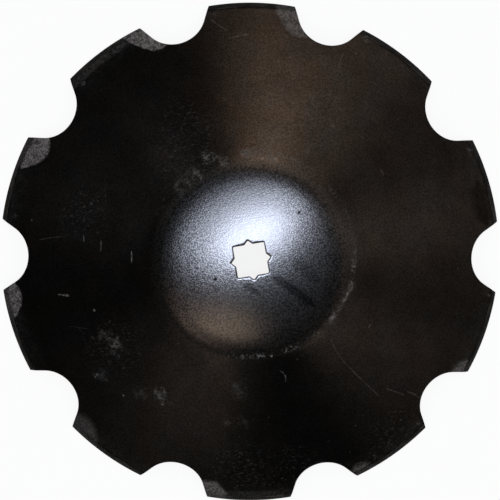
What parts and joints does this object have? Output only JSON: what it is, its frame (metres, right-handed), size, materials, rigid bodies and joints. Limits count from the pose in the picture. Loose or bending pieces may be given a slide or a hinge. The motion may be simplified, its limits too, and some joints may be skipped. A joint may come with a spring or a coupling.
{
  "type": "harrow disc blade",
  "caption": "Dished steel disc with rounded notches round its rim, a flat centre and a star-shaped axle hole; cuts and turns soil on a disc harrow gang.",
  "frame": {"origin": "centre of the axle hole on the inner hub face", "axes": "+Z along the axle, out of the bulged side; +X and +Y square to the flats of the large axle"},
  "size_m": [0.508, 0.508, 0.0675],
  "materials": {
    "blade_steel": "thin semi-gloss black coating over rolled steel, ground bare at the lobe corners"
  },
  "bodies": {
    "root": {"disc_blade": "blade_steel"}
  },
  "joints": []
}
